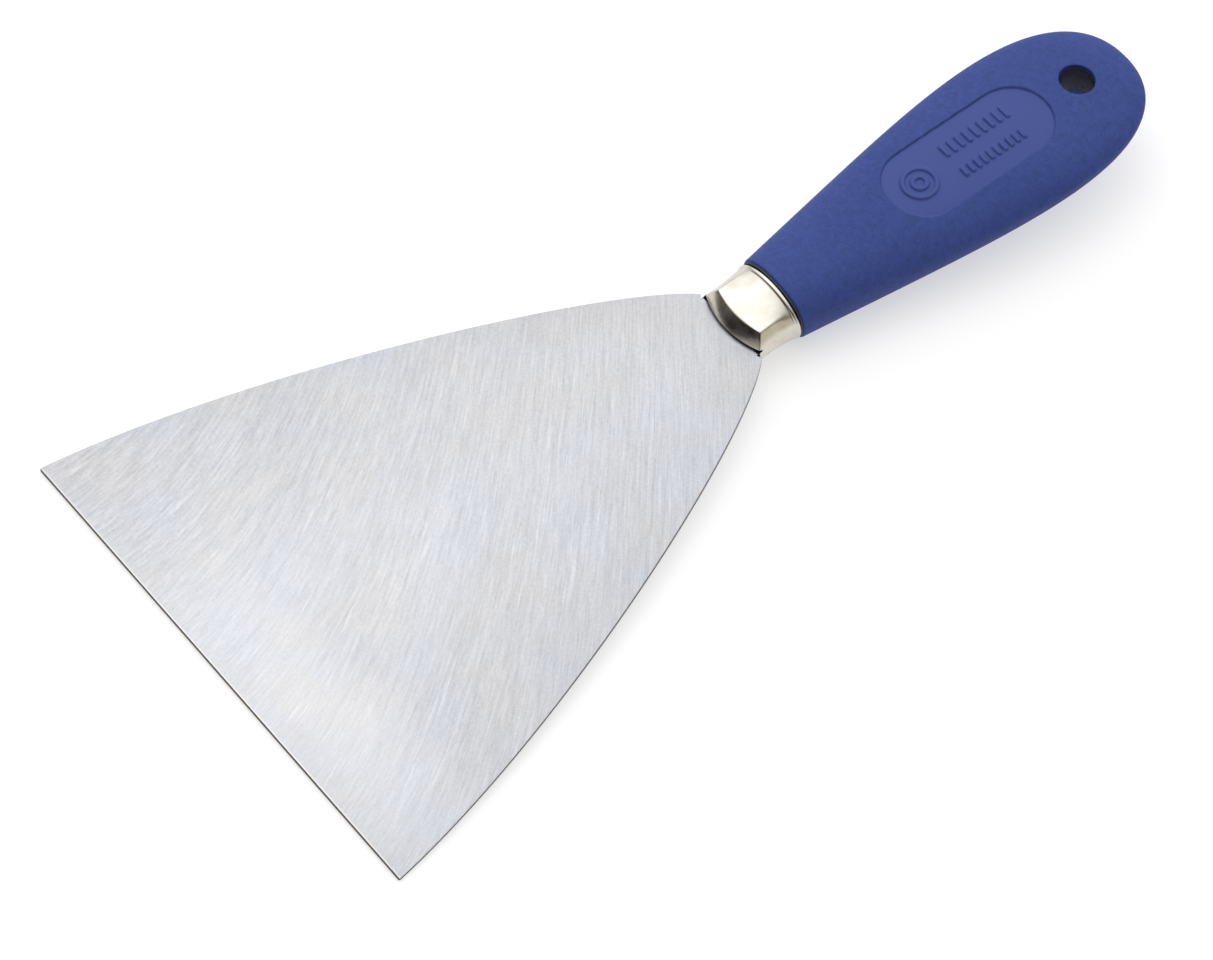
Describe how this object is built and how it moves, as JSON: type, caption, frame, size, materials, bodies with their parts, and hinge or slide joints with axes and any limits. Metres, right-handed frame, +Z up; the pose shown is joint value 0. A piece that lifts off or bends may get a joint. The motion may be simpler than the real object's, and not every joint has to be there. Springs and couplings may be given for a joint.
{
  "type": "drywall taping knife",
  "caption": "Filling and taping knife: fan-shaped ground steel blade, pressed steel ferrule and a flattened, moulded handle with a label panel and a hang hole.",
  "frame": {"origin": "under the middle of the knife, on the surface that it lies on: its working edge and the handle's front lip touch Z = 0", "axes": "+X across the blade, +Y from the working edge to the handle's end, +Z up, out of the labelled face"},
  "size_m": [0.1, 0.2032, 0.0163],
  "materials": {
    "blade_steel": "bright spring steel with fine slanting grinding marks",
    "plated_steel": "warm nickel plating, bright and slightly worn",
    "black_plastic": "near-black moulding",
    "blue_plastic": "blue moulding with a fine matte grain"
  },
  "bodies": {
    "root": {"blade": "blade_steel", "ferrule": "plated_steel", "handle_core": "black_plastic", "handle_grip": "blue_plastic"}
  },
  "joints": []
}
